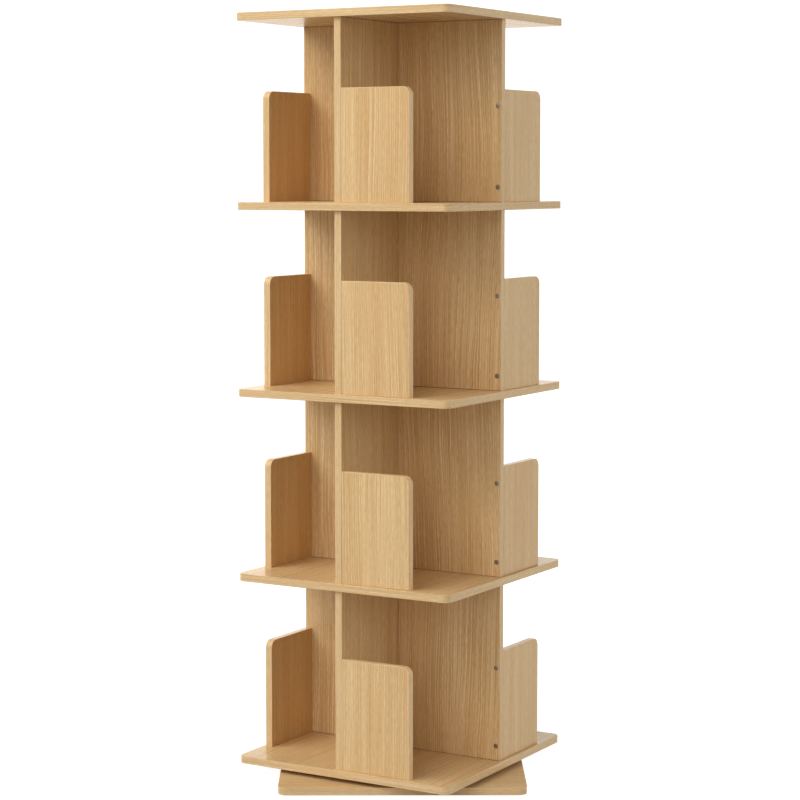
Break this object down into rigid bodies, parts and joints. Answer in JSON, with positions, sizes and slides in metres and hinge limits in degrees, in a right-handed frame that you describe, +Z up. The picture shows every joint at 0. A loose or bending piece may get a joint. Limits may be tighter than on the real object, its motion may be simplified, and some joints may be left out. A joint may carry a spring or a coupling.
{
  "type": "revolving bookcase",
  "caption": "Tall square revolving bookcase of oak-look board: shelves with pinwheel panels and bookends turn on a low base plate.",
  "frame": {"origin": "on the floor, on the turning axis", "axes": "+Z up; +X and +Y along the shelves' sides, with -Y the side of the front panels and the base plate turned 30.5 degrees under them as pictured"},
  "size_m": [0.6438, 0.6438, 1.5],
  "materials": {
    "oak_board": "matt oak-look facing on particle board",
    "beech": "bare planed beech",
    "felt": "pressed felt",
    "aluminium_ring": "satin",
    "cage_plastic": "natural nylon",
    "steel": "hardened steel, zinc plated screws"
  },
  "bodies": {
    "base": {"base_plate": "oak_board", "felt_pads": "felt", "turntable_outer_ring": "aluminium_ring"},
    "ball_cage": {"ball_cage": "cage_plastic", "bearing_balls": "steel"},
    "carousel": {"turntable_inner_ring": "aluminium_ring", "bottom_shelf": "oak_board", "bottom_shelf_tenons": "beech", "second_shelf": "oak_board", "second_shelf_tenons": "beech", "third_shelf": "oak_board", "third_shelf_tenons": "beech", "fourth_shelf": "oak_board", "fourth_shelf_tenons": "beech", "top_board": "oak_board", "top_board_tenons": "beech", "tier1_front_panel": "oak_board", "tier1_front_bookend": "oak_board", "tier1_right_panel": "oak_board", "tier1_right_bookend": "oak_board", "tier1_back_panel": "oak_board", "tier1_back_bookend": "oak_board", "tier1_left_panel": "oak_board", "tier1_left_bookend": "oak_board", "tier2_front_panel": "oak_board", "tier2_front_bookend": "oak_board", "tier2_right_panel": "oak_board", "tier2_right_bookend": "oak_board", "tier2_back_panel": "oak_board", "tier2_back_bookend": "oak_board", "tier2_left_panel": "oak_board", "tier2_left_bookend": "oak_board", "tier3_front_panel": "oak_board", "tier3_front_bookend": "oak_board", "tier3_right_panel": "oak_board", "tier3_right_bookend": "oak_board", "tier3_back_panel": "oak_board", "tier3_back_bookend": "oak_board", "tier3_left_panel": "oak_board", "tier3_left_bookend": "oak_board", "tier4_front_panel": "oak_board", "tier4_front_bookend": "oak_board", "tier4_right_panel": "oak_board", "tier4_right_bookend": "oak_board", "tier4_back_panel": "oak_board", "tier4_back_bookend": "oak_board", "tier4_left_panel": "oak_board", "tier4_left_bookend": "oak_board"}
  },
  "joints": [
    {"name": "carousel_spin", "type": "hinge", "parent": "base", "child": "carousel", "pos_m": [0, 0, 0.025], "axis": [0, 0, 1], "continuous": true},
    {"name": "ball_cage_orbit", "type": "hinge", "parent": "base", "child": "ball_cage", "pos_m": [0, 0, 0.021], "axis": [0, 0, 1], "continuous": true}
  ],
  "couplings": [
    {"joint": "ball_cage_orbit", "follows": "carousel_spin", "ratio": 0.4939}
  ]
}
